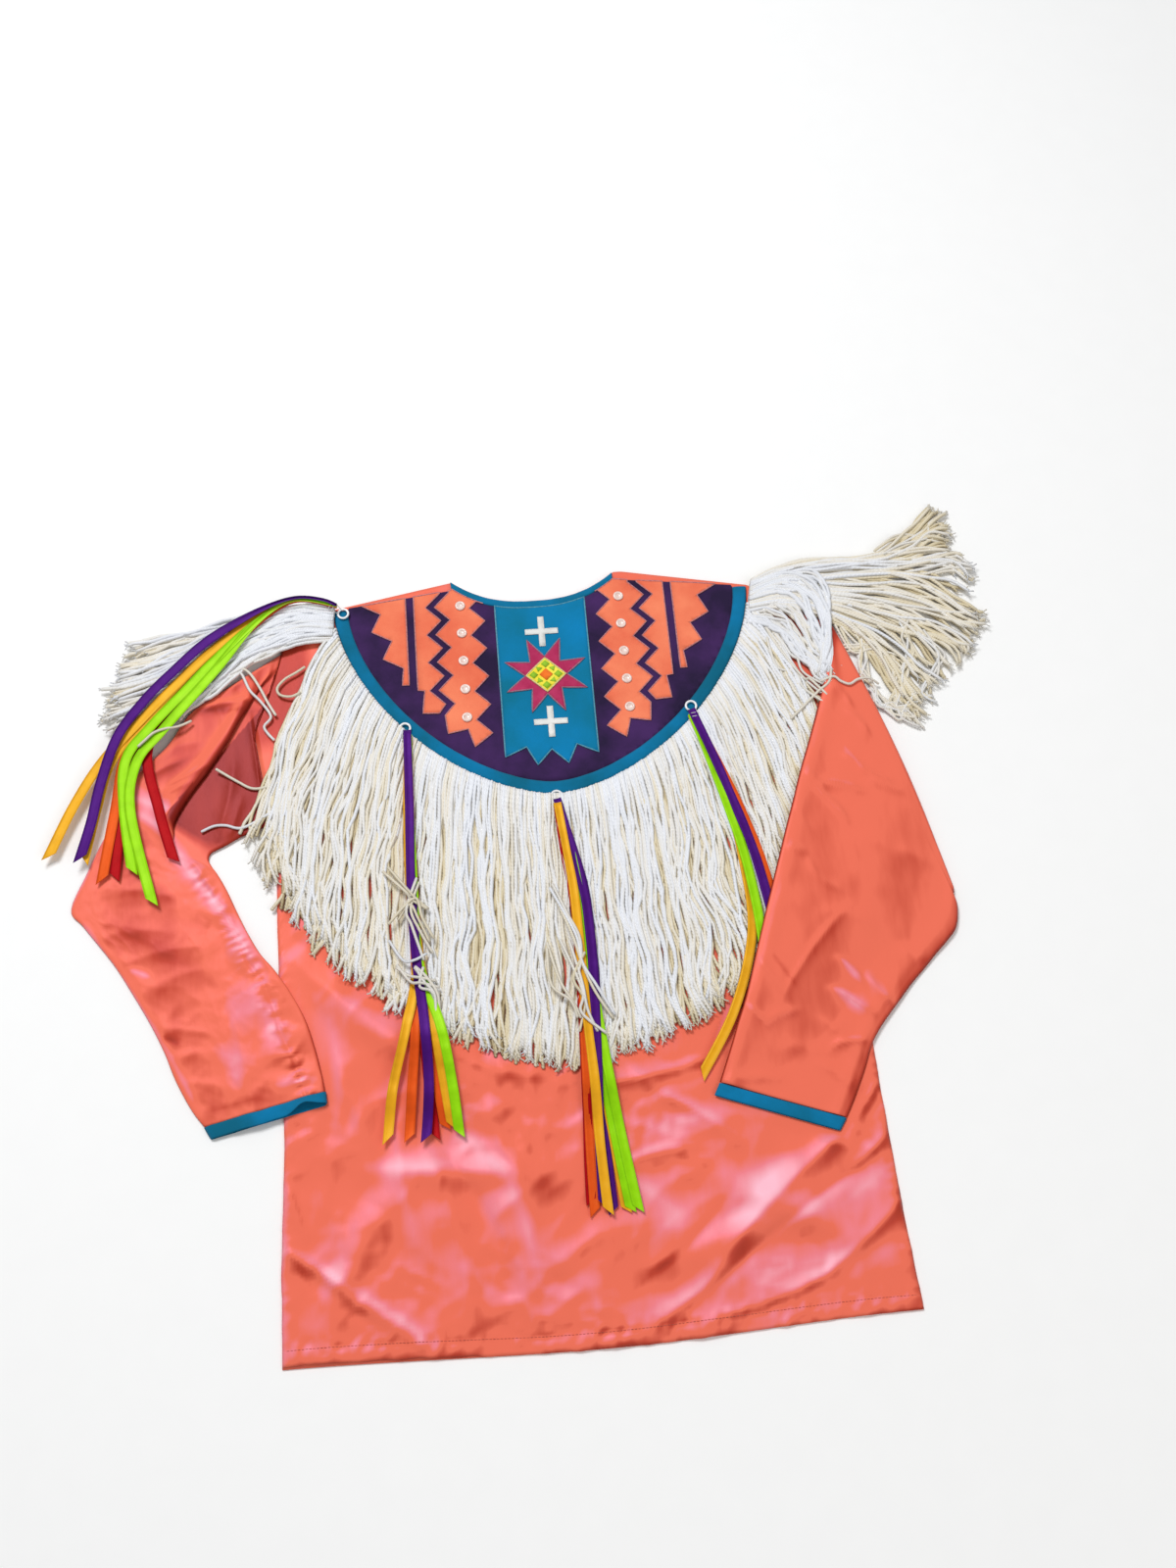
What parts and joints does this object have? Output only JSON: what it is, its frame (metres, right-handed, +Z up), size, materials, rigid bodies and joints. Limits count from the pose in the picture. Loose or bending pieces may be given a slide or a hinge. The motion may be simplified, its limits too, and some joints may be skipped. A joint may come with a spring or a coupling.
{
  "type": "grass dance shirt (upper garment of grass dance regalia), laid flat",
  "caption": "Long-sleeved satin dance shirt laid flat, front up, with an appliqued round yoke, yarn fringe, and ribbon bundles on small rings.",
  "frame": {"origin": "underside of the back panel on the centre line, 400 mm above the hem, on the surface the shirt lies on", "axes": "+Z up off the surface, +Y from the hem to the neck, +X towards the wearer's left sleeve"},
  "size_m": [0.9947, 0.8487, 0.0213],
  "materials": {
    "berry_cloth": "matt broadcloth",
    "coral_cloth": "matt broadcloth, satin-stitched edge",
    "coral_satin": "bridal-weight polyester satin with a pink sheen",
    "cream_yarn": "plied acrylic yarn",
    "gold_ribbon": "narrow satin ribbon",
    "lime_ribbon": "narrow satin ribbon",
    "navy_cloth": "matt broadcloth",
    "orange_cloth": "matt broadcloth",
    "orange_ribbon": "narrow satin ribbon",
    "purple_ribbon": "narrow satin ribbon",
    "red_ribbon": "narrow satin ribbon",
    "teal_binding": "matt folded binding",
    "teal_cloth": "matt broadcloth",
    "white_cloth": "matt broadcloth",
    "white_plastic": "pearly moulded plastic",
    "yellow_cloth": "matt broadcloth"
  },
  "bodies": {
    "root": {"back_panel": "coral_satin", "front_panel": "coral_satin", "sleeve_right": "coral_satin", "cuff_binding_right": "teal_binding", "sleeve_left": "coral_satin", "cuff_binding_left": "teal_binding", "yoke_base": "navy_cloth", "yoke_binding": "teal_binding", "neck_binding": "teal_binding", "centre_patch": "teal_cloth", "patch_inner_left": "coral_cloth", "patch_inner_right": "coral_cloth", "patch_middle_left": "coral_cloth", "patch_middle_right": "coral_cloth", "patch_outer_left": "coral_cloth", "patch_outer_right": "coral_cloth", "star": "berry_cloth", "star_diamond": "yellow_cloth", "star_centre": "orange_cloth", "cross_upper": "white_cloth", "cross_lower": "white_cloth", "button_01": "white_plastic", "button_02": "white_plastic", "button_03": "white_plastic", "button_04": "white_plastic", "button_05": "white_plastic", "button_06": "white_plastic", "button_07": "white_plastic", "button_08": "white_plastic", "button_09": "white_plastic", "button_10": "white_plastic", "fringe_front": "cream_yarn", "fringe_shoulder_right": "cream_yarn", "fringe_shoulder_left": "cream_yarn", "ring_front_right": "white_plastic", "ribbon_front_right_red": "red_ribbon", "ribbon_front_right_orange": "orange_ribbon", "ribbon_front_right_gold": "gold_ribbon", "ribbon_front_right_lime": "lime_ribbon", "ribbon_front_right_purple": "purple_ribbon", "ring_front_centre": "white_plastic", "ribbon_front_centre_orange": "orange_ribbon", "ribbon_front_centre_gold": "gold_ribbon", "ribbon_front_centre_lime": "lime_ribbon", "ribbon_front_centre_purple": "purple_ribbon", "ring_front_left": "white_plastic", "ribbon_front_left_gold": "gold_ribbon", "ribbon_front_left_orange": "orange_ribbon", "ribbon_front_left_lime": "lime_ribbon", "ribbon_front_left_purple": "purple_ribbon", "ring_shoulder_right": "white_plastic", "ribbon_shoulder_right_red": "red_ribbon", "ribbon_shoulder_right_orange": "orange_ribbon", "ribbon_shoulder_right_gold": "gold_ribbon", "ribbon_shoulder_right_lime": "lime_ribbon", "ribbon_shoulder_right_purple": "purple_ribbon"}
  },
  "joints": []
}
